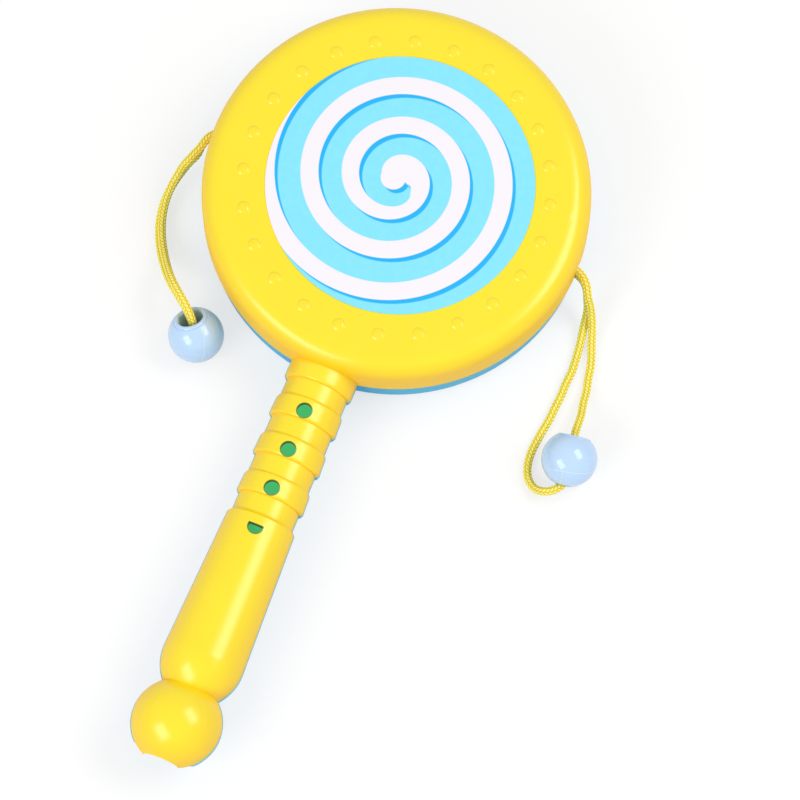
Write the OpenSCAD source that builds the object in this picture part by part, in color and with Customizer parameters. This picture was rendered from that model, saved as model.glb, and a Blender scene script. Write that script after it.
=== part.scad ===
// Whistle rattle: a flat round toy drum on a ribbed whistle handle.
// A front shell and a back shell close on one parting plane and carry each other on pins.
// A doubled cord leaves the rim on each side and holds a bead that strikes the drum.
// The back face rests on z = 0, the face looks along +Z and the handle runs along -Y.

/* [Drum] */
// outside diameter of the drum, measured on the front shell
drum_dia = 75; // [68:0.5:82]
// height of the face above the parting plane
front_depth = 10; // [9:0.25:12]
// height of the parting plane above the back face
back_depth = 9.5; // [9:0.25:11]
// rounding from the rim into both faces
face_round = 4; // [3:0.25:5]
// wall of both shells
wall = 1.6; // [1.3:0.1:2]
// how far the rim of the back shell stands inside that of the front shell
rim_step = 0.6; // [0.3:0.1:0.9]

/* [Face] */
// domed bumps round the face
bump_count = 24; // [12:2:32]
// diameter of the ring that the bumps stand on
bump_ring_dia = 59.2; // [57:0.2:61]
// diameter of one bump
bump_dia = 2.6; // [1.8:0.1:3]
// height of one bump
bump_height = 0.35; // [0.3:0.05:0.7]
// diameter of the printed label
label_dia = 51.8; // [44:0.2:53]
// thickness of the printed label
label_thick = 0.2; // [0.1:0.05:0.4]
// how far the label was set off centre to the right
label_right = 0.5; // [-0.8:0.1:0.8]
// how far the label was set off centre away from the handle
label_up = 0.6; // [-0.8:0.1:0.8]

/* [Closing] */
// how far the lip of the front shell reaches into the back shell
lip_height = 1.5; // [1:0.1:2.5]
// thickness of the lip
lip_thick = 0.9; // [0.7:0.1:1.2]
// gap between the lip and the back shell
lip_gap = 0.1; // [0.05:0.05:0.2]
// pins that join the shells inside the drum
pin_count = 4; // [3:1:6]
// diameter of the circle that the pins stand on
pin_ring_dia = 44; // [36:1:50]
// diameter of a pin
pin_dia = 2.5; // [2:0.1:3]
// how far a pin reaches into its boss
pin_reach = 3; // [2:0.25:3.5]
// gap round a pin
pin_gap = 0.05; // [0.02:0.01:0.1]
// diameter of the bosses
boss_dia = 5.6; // [4.8:0.1:6]

/* [Handle] */
// diameter of the collar at the rim
collar_dia = 13.4; // [13:0.1:14]
// length of the collar outside the rim
collar_length = 3.2; // [3:0.1:4.2]
// diameter at the bottom of the grooves
groove_dia = 12.1; // [11.2:0.1:12.3]
// diameter of the raised rings at the end nearer the drum
ring_near_dia = 13.1; // [12.8:0.1:13.6]
// diameter of the raised rings at the end nearer the grip
ring_far_dia = 13.4; // [13:0.1:14]
// length of one ring
ring_length = 4.6; // [3.8:0.1:5.4]
// step from one ring to the next
ring_step = 8.15; // [7.6:0.05:8.6]
// number of rings
ring_count = 3; // [1:1:4]
// from the rim to the middle of the first ring
ring_first = 8.8; // [8.4:0.1:9.4]
// rounding of the rings at the end nearer the drum
ring_near_round = 0.9; // [0.5:0.1:1]
// rounding of the rings at the end nearer the grip, and of the collar
ring_far_round = 0.6; // [0.3:0.1:0.6]
// groove between the last ring and the grip
grip_gap = 3; // [2.6:0.1:4]
// diameter of the grip at its ribbed end
grip_start_dia = 13.5; // [13:0.1:14.5]
// diameter of the grip at its widest
grip_end_dia = 15.8; // [15:0.1:17]
// length of the tapered grip
grip_length = 29.8; // [27:0.1:33]
// radius of the curve that draws the grip in towards the ball
grip_curve = 9.8; // [9:0.1:11]
// rounding at the ribbed end of the grip
grip_round = 1.2; // [0.6:0.1:1.6]
// diameter of the ball
ball_dia = 17.2; // [16:0.1:18.5]
// from the widest point of the grip to the middle of the ball
ball_step = 13; // [12:0.1:13.5]
// bore of the ribbed part
bore_dia = 8.8; // [8:0.1:9.2]
// wall between the drum and the bore
bore_end = 1.2; // [0.8:0.1:2]
// how far the back half of the handle stands out past the front half
handle_step = 0.15; // [0.05:0.05:0.25]
// mouth hole in the end of the ball
mouth_dia = 7; // [6:0.1:8]
// how far the back shell stops short of the front shell at the mouth
mouth_setback = 1.8; // [0:0.1:2.5]

/* [Finger holes] */
// number of finger holes
finger_count = 4; // [1:1:4]
// diameter of a finger hole
finger_dia = 2.9; // [2.4:0.1:3.4]
// how far each hole sits past the middle of its ring
finger_shift = 0.6; // [0:0.1:1]
// how far the last hole, which is closed towards the drum, is open past its middle
last_open = 0.4; // [0.2:0.1:0.8]

/* [Whistle] */
// length of the block that narrows the air way
block_length = 7; // [5:0.25:8]
// from the widest point of the grip to the outer end of the block
block_out = 3; // [2:0.25:3.5]
// height of the air way under the block
airway = 1.2; // [0.8:0.1:1.6]
// gap round the block
block_gap = 0.05; // [0.02:0.01:0.1]
// length of the sound window
window_length = 4.5; // [3.5:0.25:6]
// width of the sound window
window_width = 5; // [4:0.25:6]
// length of the ramp that leads to the sound edge
ramp_length = 5.5; // [4:0.25:7]
// thickness left at the sound edge
edge_thick = 0.4; // [0.3:0.05:0.6]

/* [Cords] */
// diameter of the braided cord
cord_dia = 1.6; // [1.2:0.05:1.7]
// gap between the two strands where they pass the rim
strand_gap = 0.1; // [0.05:0.05:0.3]
// hole in the rim for the doubled cord
eyelet_dia = 3.7; // [3.5:0.1:4.2]
// diameter of the knot behind the rim
rim_knot_dia = 4.8; // [4.5:0.1:5.5]
// gap between a knot and the wall that holds it
knot_gap = 0.15; // [0.05:0.05:0.3]
// diameter of the knot inside the left bead
end_knot_dia = 4.2; // [3.8:0.1:4.4]

/* [Beads] */
// diameter of a bead
bead_dia = 10.8; // [10.2:0.1:11.4]
// from the middle of a bead to the rim of its mouth
bead_mouth_out = 4.5; // [4.2:0.05:4.7]
// diameter of the mouth
bead_bore_dia = 4.9; // [4.7:0.1:5.4]
// rounding of the mouth
bead_lip = 0.45; // [0.3:0.05:0.55]
// from the middle of a bead to the floor of its bore
bead_floor = 2.6; // [2.2:0.1:3]
// small hole in the closed end
bead_hole_dia = 3.2; // [2.8:0.1:3.4]

/* [Hidden] */
$fn = 96;
// overshoot of cuts that leave through a face
over = 0.5;
rim = drum_dia / 2;
back_rim = rim - rim_step;
parting = back_depth;
face = parting + front_depth;
// lip of the front shell, inside the wall of the back shell
lip_out = back_rim - wall - lip_gap;
lip_in = lip_out - lip_thick;
// positions along the handle, measured from the middle of the drum
bore_start = rim + bore_end;
ring_at = [for (i = [0 : ring_count - 1]) rim + ring_first + i * ring_step];
grip_start = ring_at[ring_count - 1] + ring_length / 2 + grip_gap;
grip_wide = grip_start + grip_length;
ball_at = grip_wide + ball_step;
ball_r = ball_dia / 2;
finger_at = [for (i = [0 : finger_count - 1]) rim + ring_first + finger_shift + i * ring_step];
// the handle pin stands in the last groove
handle_pin_at = grip_start - grip_gap / 2 + 0.2;
mouth_end = ball_at + sqrt(pow(ball_r, 2) - pow(mouth_dia / 2, 2));
block_end = grip_wide + block_out;
block_start = block_end - block_length;
// inside radius of the grip where the block ends and where the sound edge is
function grip_in(y) = grip_start_dia / 2 - wall
    + (grip_end_dia - grip_start_dia) / 2 * (y - grip_start) / grip_length;
window_start = block_start - window_length;
// the two strands stand one above the other where they leave the rim
strand_off = (cord_dia + strand_gap) / 2;
knot_r = rim_knot_dia / 2;
eyelet_r = eyelet_dia / 2;
knot_at = lip_in - knot_gap - sqrt(pow(knot_r, 2) - pow(eyelet_r, 2));
// beads: middle, and the tilt and heading of the bore
left_bead_at = [-26.3, -38.1, bead_dia / 2];
left_bead_tilt = 53;
left_bead_turn = 135;
right_bead_at = [49.5, -34.2, bead_dia / 2];
right_bead_tilt = 12;
right_bead_turn = 98;
// route of the left pair of strands, from the rim to the knot in its bead
left_route = [
    [-38.4, -1.75, 9.35], [-39.11, -3.41, 9.12], [-39.82, -4.97, 8.58], [-40.52, -6.44, 7.79],
    [-41.17, -7.84, 6.83], [-41.73, -9.22, 5.79], [-42.18, -10.65, 4.75], [-42.5, -12.15, 3.8],
    [-42.66, -13.76, 2.98], [-42.6, -15.44, 2.34], [-42.33, -17.16, 1.91], [-41.86, -18.89, 1.7],
    [-41.21, -20.57, 1.7], [-40.43, -22.18, 1.91], [-39.57, -23.71, 2.33], [-38.66, -25.14, 2.96],
    [-37.75, -26.46, 3.79], [-36.85, -27.69, 4.77], [-35.95, -28.83, 5.85], [-35.01, -29.92, 6.96],
    [-33.97, -31.01, 7.99], [-32.78, -32.11, 8.82], [-31.46, -33.22, 9.32], [-30.07, -34.33, 9.35],
    [-28.8, -35.42, 8.82], [-27.82, -36.41, 7.75], [-27.21, -37.19, 6.19]
];
// route of the right loop, from the rim round through its bead and back
right_route = [
    [38.45, -0.3, 8.62], [40.07, -1.78, 7.31], [41.17, -3.02, 5.36], [41.78, -4.68, 3.51],
    [42.11, -6.83, 2.16], [42.52, -9.23, 1.4], [42.88, -11.73, 1.02], [43.13, -14.26, 0.87],
    [43.27, -16.8, 0.86], [43.11, -19.34, 0.87], [43.11, -21.88, 0.9], [42.92, -24.41, 0.94],
    [42.78, -26.95, 0.89], [42.43, -29.47, 0.86], [42.12, -31.99, 0.98], [41.94, -34.53, 0.88],
    [42.21, -37.06, 0.86], [43.14, -39.4, 0.99], [44.96, -41.05, 1.63], [47.02, -41.41, 3.02],
    [49.14, -40.4, 4.06], [50.31, -38.16, 4.57], [50.43, -35.73, 5.14], [49.79, -33.35, 5.55],
    [49.1, -30.95, 5.34], [48.59, -28.59, 4.69], [48.42, -26.25, 3.85], [48.16, -24.04, 2.71],
    [47.7, -21.74, 1.84], [47.38, -19.34, 1.23], [46.81, -16.93, 0.89], [46.34, -14.48, 0.86],
    [45.61, -12.09, 0.86], [44.74, -9.81, 1.35], [43.97, -7.71, 2.48], [43.15, -5.98, 4.09],
    [42.23, -4.54, 5.92], [41.4, -3.46, 8.02], [40.01, -2.11, 9.6], [38.45, -0.3, 10.35]
];
cord_sides = 8;

// half section of a dish of radius r and height h with a rounded edge
module dish_2d(r, h, c) {
    square([r - c, h]);
    square([r, h - c]);
    translate([r - c, h - c])
        circle(r = c);
}

// half section of a raised band that grows from radius r0 to r1, with edges rounded by c0 and c1
module band_2d(r0, r1, y0, y1, c0, c1) {
    polygon([
        [0, y0], [r0 - c0, y0], [r0 - c0, y0 + c0], [r0, y0 + c0],
        [r1, y1 - c1], [r1 - c1, y1 - c1], [r1 - c1, y1], [0, y1]
    ]);
    translate([r0 - c0, y0 + c0])
        circle(r = c0);
    translate([r1 - c1, y1 - c1])
        circle(r = c1);
}

// half section of the tapered grip and its drawn-in end, drawn smaller by inset
module grip_2d(inset) {
    r0 = grip_start_dia / 2 - inset;
    r1 = grip_end_dia / 2 - inset;
    c = grip_curve - inset;
    polygon([
        [0, grip_start], [r0 - grip_round, grip_start], [r0, grip_start + grip_round],
        [r1, grip_wide], [0, grip_wide]
    ]);
    intersection() {
        translate([r1 - c, grip_wide])
            circle(r = c);
        translate([0, grip_wide])
            square([r1, ball_step]);
    }
}

// half section of the ball, drawn smaller by inset
module ball_2d(inset) {
    intersection() {
        translate([0, ball_at])
            circle(r = ball_r - inset);
        translate([0, ball_at - ball_r])
            square([ball_r, 2 * ball_r]);
    }
}

// half section of the whole handle, outside
module handle_2d() {
    translate([0, rim - wall * 0.7])
        square([groove_dia / 2, grip_start + grip_round - rim + wall * 0.7]);
    band_2d(collar_dia / 2, collar_dia / 2, rim - wall * 0.7, rim + collar_length, ring_far_round, ring_far_round);
    for (y = ring_at)
        band_2d(
            ring_near_dia / 2, ring_far_dia / 2, y - ring_length / 2, y + ring_length / 2,
            ring_near_round, ring_far_round
        );
    grip_2d(0);
    ball_2d(0);
}

// half section of the back half of the handle, outside
module back_handle_2d() {
    intersection() {
        offset(delta = handle_step)
            handle_2d();
        translate([0, rim - wall * 0.7])
            square([grip_end_dia + ball_dia, mouth_end + ball_r - rim]);
    }
}

// half section of the air space in the handle
module air_2d() {
    translate([0, bore_start])
        square([bore_dia / 2, grip_start + grip_round - bore_start]);
    grip_2d(wall);
    ball_2d(wall);
    translate([0, ball_at])
        square([mouth_dia / 2, ball_r + over]);
}

// turns a half section round the handle's axis
module on_handle() {
    translate([0, 0, parting])
        rotate([90, 0, 0])
            rotate_extrude()
                children();
}

// everything on one side of the parting plane
module half_space(up) {
    size = 2 * (mouth_end + drum_dia);
    translate([-size / 2, -size / 2, up ? parting : parting - size])
        cube(size);
}

// round places of the pins inside the drum
module at_pins() {
    for (i = [0 : pin_count - 1])
        rotate(45 + i * 360 / pin_count)
            translate([pin_ring_dia / 2, 0, 0])
                children();
}

// place of the pin in the handle
module at_handle_pin() {
    translate([0, -handle_pin_at, 0])
        children();
}

// cord holes through both rims, on the parting plane
module eyelets() {
    for (side = [-1, 1])
        translate([side * (lip_in - over), 0, parting])
            rotate([0, side * 90, 0])
                cylinder(d = eyelet_dia, h = rim - lip_in + 2 * over);
}

// lip that centres the front shell in the back shell
module lip() {
    root = rim - wall;
    translate([0, 0, parting])
        rotate_extrude()
            polygon([
                [lip_in, -lip_height], [lip_out, -lip_height], [lip_out, 0], [root + wall / 2, 0],
                [root + wall / 2, lip_height + root - lip_in], [root, lip_height + root - lip_in],
                [lip_in, lip_height]
            ]);
}

module bumps() {
    bump_r = (pow(bump_dia / 2, 2) + pow(bump_height, 2)) / (2 * bump_height);
    for (i = [0 : bump_count - 1])
        rotate(i * 360 / bump_count - 90)
            translate([bump_ring_dia / 2, 0, face + bump_height - bump_r])
                rotate_extrude()
                    intersection() {
                        circle(r = bump_r);
                        translate([0, bump_r - bump_height - wall / 3])
                            square([bump_dia / 2, bump_height + wall / 3]);
                    }
}

// finger hole number i; the last one is closed on the side towards the drum
module finger_hole(i) {
    open = i == finger_count - 1 ? last_open : finger_dia;
    translate([0, -finger_at[i], parting])
        intersection() {
            cylinder(d = finger_dia, h = grip_end_dia);
            translate([-finger_dia, -finger_dia, -over])
                cube([2 * finger_dia, finger_dia + open, grip_end_dia + 2 * over]);
        }
}

module front_shell() {
    color("gold")
        difference() {
            union() {
                difference() {
                    union() {
                        translate([0, 0, parting])
                            rotate_extrude()
                                dish_2d(rim, front_depth, face_round);
                        intersection() {
                            on_handle()
                                handle_2d();
                            half_space(true);
                        }
                        bumps();
                    }
                    translate([0, 0, parting - over])
                        rotate_extrude()
                            dish_2d(rim - wall, front_depth - wall + over, face_round - wall);
                    on_handle()
                        air_2d();
                    for (i = [0 : finger_count - 1])
                        finger_hole(i);
                }
                lip();
                at_pins()
                    translate([0, 0, parting])
                        cylinder(d = boss_dia, h = front_depth - wall / 2);
                at_handle_pin()
                    translate([0, 0, parting])
                        cylinder(d = boss_dia, h = (bore_dia + groove_dia) / 4);
            }
            eyelets();
            at_pins()
                translate([0, 0, parting - over])
                    cylinder(d = pin_dia + 2 * pin_gap, h = pin_reach + 2 * over);
            at_handle_pin()
                translate([0, 0, parting - over])
                    cylinder(d = pin_dia + 2 * pin_gap, h = pin_reach + 2 * over);
        }
}

// sound window under the grip, with the ramp that ends in the sound edge
module sound_window() {
    edge = grip_in(window_start) + edge_thick;
    deep = grip_end_dia;
    translate([-window_width / 2, -block_start, parting - deep])
        cube([window_width, window_length, deep - grip_in(block_start) / 2]);
    translate([-window_width / 2, 0, parting])
        rotate([90, 0, 90])
            linear_extrude(window_width)
                polygon([
                    [-window_start - over, -edge], [-window_start + ramp_length, -edge - ramp_length * 0.25],
                    [-window_start + ramp_length, -deep], [-window_start - over, -deep]
                ]);
}

module back_shell() {
    color("lightskyblue")
        difference() {
            union() {
                difference() {
                    union() {
                        translate([0, 0, parting])
                            mirror([0, 0, 1])
                                rotate_extrude()
                                    dish_2d(back_rim, back_depth, face_round);
                        intersection() {
                            on_handle()
                                back_handle_2d();
                            half_space(false);
                        }
                    }
                    translate([0, 0, parting + over])
                        mirror([0, 0, 1])
                            rotate_extrude()
                                dish_2d(back_rim - wall, back_depth - wall + over, face_round - wall);
                    on_handle()
                        air_2d();
                    sound_window();
                    translate([-ball_r, -mouth_end - ball_r, parting - ball_r])
                        cube([2 * ball_r, ball_r + mouth_setback, 2 * ball_r]);
                }
                at_pins() {
                    translate([0, 0, wall / 2])
                        cylinder(d = boss_dia, h = parting - wall / 2);
                    translate([0, 0, parting - over])
                        cylinder(d = pin_dia, h = pin_reach + over);
                }
                at_handle_pin() {
                    translate([0, 0, parting - (bore_dia + groove_dia) / 4])
                        cylinder(d = boss_dia, h = (bore_dia + groove_dia) / 4);
                    translate([0, 0, parting - over])
                        cylinder(d = pin_dia, h = pin_reach + over);
                }
            }
            eyelets();
        }
}

module face_label() {
    color("aquamarine")
        translate([label_right, label_up, face])
            cylinder(d = label_dia, h = label_thick);
}

// tapered plug that fills the grip except for a flat air way along the back
module whistle_block() {
    flat = grip_in(block_start) - airway;
    color("khaki")
        intersection() {
            on_handle()
                intersection() {
                    grip_2d(wall + block_gap);
                    translate([0, block_start])
                        square([grip_end_dia, block_length]);
                }
            translate([-grip_end_dia, -block_end - over, parting - flat])
                cube([2 * grip_end_dia, block_length + 2 * over, flat + grip_end_dia]);
        }
}

// knot behind the rim with the two strands that pass the hole
module rim_knot(side) {
    color("goldenrod")
        translate([0, 0, parting])
            mirror([side < 0 ? 1 : 0, 0, 0])
                union() {
                    translate([knot_at, 0, 0])
                        rotate(90)
                            sphere(r = knot_r);
                    translate([knot_at - knot_r * 0.9, 0, 0])
                        rotate(90)
                            sphere(r = knot_r * 0.8);
                    for (z = [-strand_off, strand_off])
                        translate([knot_at, 0, z])
                            rotate([0, 90, 0])
                                cylinder(d = cord_dia, h = rim - knot_at);
                }
}

function unit(v) = v / norm(v);

// direction of a route at point i
function heading(p, i) = unit(p[min(i + 1, len(p) - 1)] - p[max(i - 1, 0)]);

// ring of points round c, square to t
function ring_points(c, t, r) =
    let (u = unit(cross(t, [0, 0, 1])), v = cross(u, t))
    [for (k = [0 : cord_sides - 1]) c + r * (u * cos(k * 360 / cord_sides) + v * sin(k * 360 / cord_sides))];

// rings that round off the end of a strand at c, which runs on along t
function dome(c, t, r) = [for (a = [70, 40]) [c - t * r * sin(a), t, r * cos(a)]];

function flipped(list) = [for (i = [len(list) - 1 : -1 : 0]) list[i]];

// one unbroken tube along a route, round at the start and, if asked, at the end
module tube(p, dia, round_end) {
    r = dia / 2;
    last = len(p) - 1;
    t1 = heading(p, last);
    rings = concat(
        dome(p[0], heading(p, 0), r),
        [for (i = [0 : last]) [p[i], heading(p, i), r]],
        round_end ? flipped([for (a = [70, 40]) [p[last] + t1 * r * sin(a), t1, r * cos(a)]]) : []
    );
    n = cord_sides;
    m = len(rings);
    polyhedron(
        points = [for (g = rings) each ring_points(g[0], g[1], g[2])],
        faces = concat(
            [for (k = [1 : n - 2]) [0, k, k + 1]],
            [for (j = [0 : m - 2], k = [0 : n - 1])
                each [
                    [j * n + k, (j + 1) * n + k, (j + 1) * n + (k + 1) % n],
                    [j * n + k, (j + 1) * n + (k + 1) % n, j * n + (k + 1) % n]
                ]],
            [for (k = [1 : n - 2]) [(m - 1) * n, (m - 1) * n + k + 1, (m - 1) * n + k]]
        ),
        convexity = 6
    );
}

// the side of a route that looks up
function up_side(t) = unit([0, 0, 1] - t[2] * t);

// one strand of the left pair, above or below the middle of the route
function left_strand(side) = [
    for (i = [0 : len(left_route) - 1]) left_route[i] + side * strand_off * up_side(heading(left_route, i))
];

module left_cord_upper() {
    color("yellow")
        tube(left_strand(1), cord_dia, false);
}

module left_cord_lower() {
    color("yellow")
        tube(left_strand(-1), cord_dia, false);
}

module right_cord() {
    color("yellow")
        tube(right_route, cord_dia, true);
}

// stands a bead at its place with its mouth along the bore's axis
module at_bead(place, tilt, turn) {
    translate(place)
        rotate([0, 90 - tilt, turn])
            children();
}

module bead() {
    bead_r = bead_dia / 2;
    shoulder = bead_mouth_out - bead_lip;
    rotate_extrude()
        difference() {
            union() {
                intersection() {
                    circle(r = bead_r);
                    translate([0, -bead_r])
                        square([bead_r, bead_r + shoulder]);
                }
                translate([bead_bore_dia / 2 + bead_lip, shoulder])
                    circle(r = bead_lip);
            }
            translate([0, -bead_floor])
                square([bead_bore_dia / 2, bead_floor + bead_r]);
            translate([0, -bead_dia])
                square([bead_hole_dia / 2, bead_dia]);
        }
}

module left_bead() {
    color("lightblue")
        at_bead(left_bead_at, left_bead_tilt, left_bead_turn)
            bead();
}

module right_bead() {
    color("lightblue")
        at_bead(right_bead_at, right_bead_tilt, right_bead_turn)
            bead();
}

// knot that keeps the left pair in its bead
module left_end_knot() {
    r = end_knot_dia / 2;
    color("goldenrod")
        at_bead(left_bead_at, left_bead_tilt, left_bead_turn)
            translate([0, 0, r + knot_gap - bead_floor])
                sphere(r = r);
}

front_shell();
back_shell();
face_label();
whistle_block();
rim_knot(-1);  // left_rim_knot
left_cord_upper();
left_cord_lower();
left_end_knot();
left_bead();
rim_knot(1);  // right_rim_knot
right_cord();
right_bead();
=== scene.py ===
"""Whistle rattle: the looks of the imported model, in metres, in the model's own frame.

The shells, label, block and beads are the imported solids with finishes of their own. The cords and knots are braided
surfaces worked out here, in place of the plain tubes and lumps of the model.
"""
import math

import bpy
import numpy as np
from mathutils import Matrix


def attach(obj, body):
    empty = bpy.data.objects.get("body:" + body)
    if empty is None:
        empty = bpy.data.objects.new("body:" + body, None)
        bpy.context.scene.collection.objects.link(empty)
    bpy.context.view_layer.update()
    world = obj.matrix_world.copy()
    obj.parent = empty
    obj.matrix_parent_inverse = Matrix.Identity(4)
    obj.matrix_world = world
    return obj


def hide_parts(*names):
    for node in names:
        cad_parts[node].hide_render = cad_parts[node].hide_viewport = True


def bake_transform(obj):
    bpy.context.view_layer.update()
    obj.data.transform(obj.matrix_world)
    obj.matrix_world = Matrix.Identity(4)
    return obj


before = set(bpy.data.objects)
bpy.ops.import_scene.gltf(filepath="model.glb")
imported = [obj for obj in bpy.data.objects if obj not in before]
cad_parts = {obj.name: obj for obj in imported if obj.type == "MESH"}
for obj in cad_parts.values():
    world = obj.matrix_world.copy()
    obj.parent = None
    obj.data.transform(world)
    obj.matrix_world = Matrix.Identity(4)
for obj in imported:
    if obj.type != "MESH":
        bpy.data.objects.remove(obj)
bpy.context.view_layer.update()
MM = 0.001


# Camera: the photograph's own angles, for an image of 800 by 800.
AZIMUTH, ELEVATION, ROLL = np.radians([20.724, 74.562, -1.213])
AIM = np.array([15.44, -36.54, 9.61]) * MM
CAMERA_DISTANCE = 956.62 * MM
LENS, SENSOR = 225.0, 36.0


def camera_axes():
    """Unit vectors to the image's right, to its bottom and into it: forward from azimuth and elevation, and the level
    pair turned about it by the roll."""
    forward = np.array([
        -math.sin(AZIMUTH) * math.cos(ELEVATION),
        math.cos(AZIMUTH) * math.cos(ELEVATION),
        -math.sin(ELEVATION),
    ])
    level = np.array([math.cos(AZIMUTH), math.sin(AZIMUTH), 0.0])
    right = math.cos(ROLL) * level + math.sin(ROLL) * np.cross(forward, level)
    return right, np.cross(forward, right), forward


def placed(right, up, back, position):
    """A world matrix from three axes and a place."""
    matrix = np.eye(4)
    matrix[:3, :] = np.column_stack([right, up, back, position])
    return Matrix(matrix.tolist())


RIGHT, DOWN, FORWARD = camera_axes()
camera_data = bpy.data.cameras.new("camera")
camera_data.lens, camera_data.sensor_width, camera_data.sensor_fit = LENS, SENSOR, "HORIZONTAL"
camera = bpy.data.objects.new("camera", camera_data)
bpy.context.collection.objects.link(camera)
camera.matrix_world = placed(RIGHT, -DOWN, -FORWARD, AIM - CAMERA_DISTANCE * FORWARD)
bpy.context.scene.camera = camera


# Cords: routes in millimetres, the same points as the model's solids.
CORD_DIAMETER = 1.6
STRAND_OFFSET = 0.85
PAIR_TWIST = math.radians(20)
EYELET_HEIGHT = 9.5
RIM_KNOT_AT = 32.6
LEFT_ROUTE = np.array([
    [-38.4, -1.75, 9.35], [-39.11, -3.41, 9.12], [-39.82, -4.97, 8.58], [-40.52, -6.44, 7.79],
    [-41.17, -7.84, 6.83], [-41.73, -9.22, 5.79], [-42.18, -10.65, 4.75], [-42.5, -12.15, 3.8],
    [-42.66, -13.76, 2.98], [-42.6, -15.44, 2.34], [-42.33, -17.16, 1.91], [-41.86, -18.89, 1.7],
    [-41.21, -20.57, 1.7], [-40.43, -22.18, 1.91], [-39.57, -23.71, 2.33], [-38.66, -25.14, 2.96],
    [-37.75, -26.46, 3.79], [-36.85, -27.69, 4.77], [-35.95, -28.83, 5.85], [-35.01, -29.92, 6.96],
    [-33.97, -31.01, 7.99], [-32.78, -32.11, 8.82], [-31.46, -33.22, 9.32], [-30.07, -34.33, 9.35],
    [-28.8, -35.42, 8.82], [-27.82, -36.41, 7.75], [-27.21, -37.19, 6.19],
])
RIGHT_ROUTE = np.array([
    [38.45, -0.3, 8.62], [40.07, -1.78, 7.31], [41.17, -3.02, 5.36], [41.78, -4.68, 3.51], [42.11, -6.83, 2.16],
    [42.52, -9.23, 1.4], [42.88, -11.73, 1.02], [43.13, -14.26, 0.87], [43.27, -16.8, 0.86], [43.11, -19.34, 0.87],
    [43.11, -21.88, 0.9], [42.92, -24.41, 0.94], [42.78, -26.95, 0.89], [42.43, -29.47, 0.86],
    [42.12, -31.99, 0.98], [41.94, -34.53, 0.88], [42.21, -37.06, 0.86], [43.14, -39.4, 0.99],
    [44.96, -41.05, 1.63], [47.02, -41.41, 3.02], [49.14, -40.4, 4.06], [50.31, -38.16, 4.57],
    [50.43, -35.73, 5.14], [49.79, -33.35, 5.55], [49.1, -30.95, 5.34], [48.59, -28.59, 4.69],
    [48.42, -26.25, 3.85], [48.16, -24.04, 2.71], [47.7, -21.74, 1.84], [47.38, -19.34, 1.23],
    [46.81, -16.93, 0.89], [46.34, -14.48, 0.86], [45.61, -12.09, 0.86], [44.74, -9.81, 1.35], [43.97, -7.71, 2.48],
    [43.15, -5.98, 4.09], [42.23, -4.54, 5.92], [41.4, -3.46, 8.02], [40.01, -2.11, 9.6], [38.45, -0.3, 10.35],
])

# The first points of each strand, from the knot behind the rim out through its hole, with the bend at the rim eased
# to some two cord diameters. Four of them lie in the hole, and each of the others stands for a point of the route.
IN_HOLE = 4
LEFT_UPPER_START = np.array([
    [-33.4, 0.53, 10.36], [-34.8, 0.35, 10.37], [-36.2, 0.19, 10.4], [-37.5, -0.35, 10.39], [-38.76, -1.82, 10.21],
    [-39.28, -3.66, 9.94], [-39.98, -5.31, 9.41], [-40.71, -6.87, 8.7], [-41.42, -8.15, 7.47],
])
LEFT_LOWER_START = np.array([
    [-33.4, 0.43, 8.66], [-34.8, 0.34, 8.64], [-36.2, 0.19, 8.58], [-37.5, -0.19, 8.57], [-38.94, -1.49, 8.55],
    [-39.53, -3.27, 8.31], [-39.68, -4.75, 7.86], [-40.33, -6.14, 7.2], [-41.04, -7.3, 6.06],
])
RIGHT_FIRST_START = np.array([
    [33.4, 0.62, 8.67], [34.8, 0.53, 8.64], [36.2, 0.08, 8.62], [37.5, -0.22, 8.69], [38.45, -0.47, 8.51],
    [40.24, -1.71, 7.25], [41.06, -3.07, 5.29],
])
RIGHT_LAST_START = np.array([
    [33.4, 0.5, 10.34], [34.8, 0.39, 10.35], [36.2, 0.12, 10.37], [37.5, -0.07, 10.39], [38.52, -0.44, 10.32],
    [40.26, -1.98, 9.73], [41.27, -3.58, 7.95],
])

# The braid: six columns of stitches round the cord, one stitch every 0.76 mm, alternate columns leaning left and
# right. The mesh has this many points round a ring and this many rings to a stitch.
BRAID_COLUMNS = 6
STITCH_LENGTH = 0.76
STITCH_LEAN = 0.8
STITCH_RELIEF = 0.17
AROUND, ALONG = 48, 10
TIP_LENGTH = 0.5

# The splines' points in each span, and the points that a closed line borrows from its other end.
SPAN_POINTS = 20
BORROWED = 6

# The knots: points on the line, and the steps of spread and depth behind the rim and in the bead, in millimetres.
KNOT_POINTS = 241
RIM_KNOT_STEPS, END_KNOT_STEPS = (0.55, 0.85), (0.42, 0.7)
END_KNOT_AT, END_KNOT_AXIS = [-26.15, -38.25, 5.12], [-0.425547, 0.425547, 0.798636]


def unit(vectors):
    """Vectors over their lengths."""
    return vectors / np.linalg.norm(vectors, axis=-1, keepdims=True)


def strand(route, side):
    """One strand of a doubled cord: each route point moved by the strand offset along the upward direction that is
    square to the heading, where the heading joins the neighbouring points. The pair leans over by the twist times the
    squared sine of half a turn from end to end, so that the lower strand shows beside the upper one."""
    ahead = np.vstack([route[1:], route[-1:]])
    behind = np.vstack([route[:1], route[:-1]])
    heading = unit(ahead - behind)
    upward = unit(np.array([0, 0, 1.0]) - heading[:, 2:3] * heading)
    lean = PAIR_TWIST * np.sin(np.linspace(0, np.pi, len(route)))[:, None] ** 2
    return route + side * STRAND_OFFSET * (np.cos(lean) * upward - np.sin(lean) * np.cross(heading, upward))


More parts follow.
